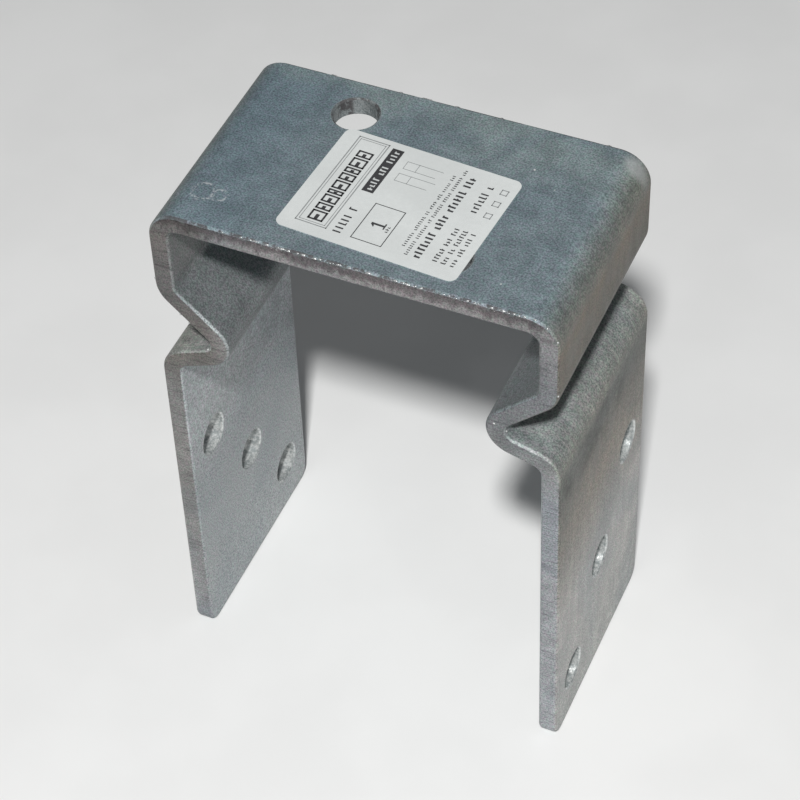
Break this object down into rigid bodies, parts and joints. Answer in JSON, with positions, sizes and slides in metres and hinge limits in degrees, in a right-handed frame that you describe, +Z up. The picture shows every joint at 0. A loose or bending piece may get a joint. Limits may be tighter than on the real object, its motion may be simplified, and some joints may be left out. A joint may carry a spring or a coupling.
{
  "type": "timber post base",
  "caption": "U-shaped post base folded from one galvanised steel strip, with a crimped ledge in each leg for a timber post and bolt holes in web and legs.",
  "frame": {"origin": "centre of the object's box at the leg tips, on the surface it stands on", "axes": "+Z up from the leg tips to the web, X across the web from leg to leg, Y along the strip's 60 mm width. The part is shown as stored, web on top: on site it is turned over, with the web on the concrete and the legs up."},
  "size_m": [0.104, 0.06, 0.15],
  "materials": {
    "galvanised_steel": "dull hot-dip galvanised zinc, faintly mottled, with grey sheared edges",
    "paper_sticker": "white printed paper sticker on the web"
  },
  "bodies": {
    "root": {"bracket": "galvanised_steel"}
  },
  "joints": []
}
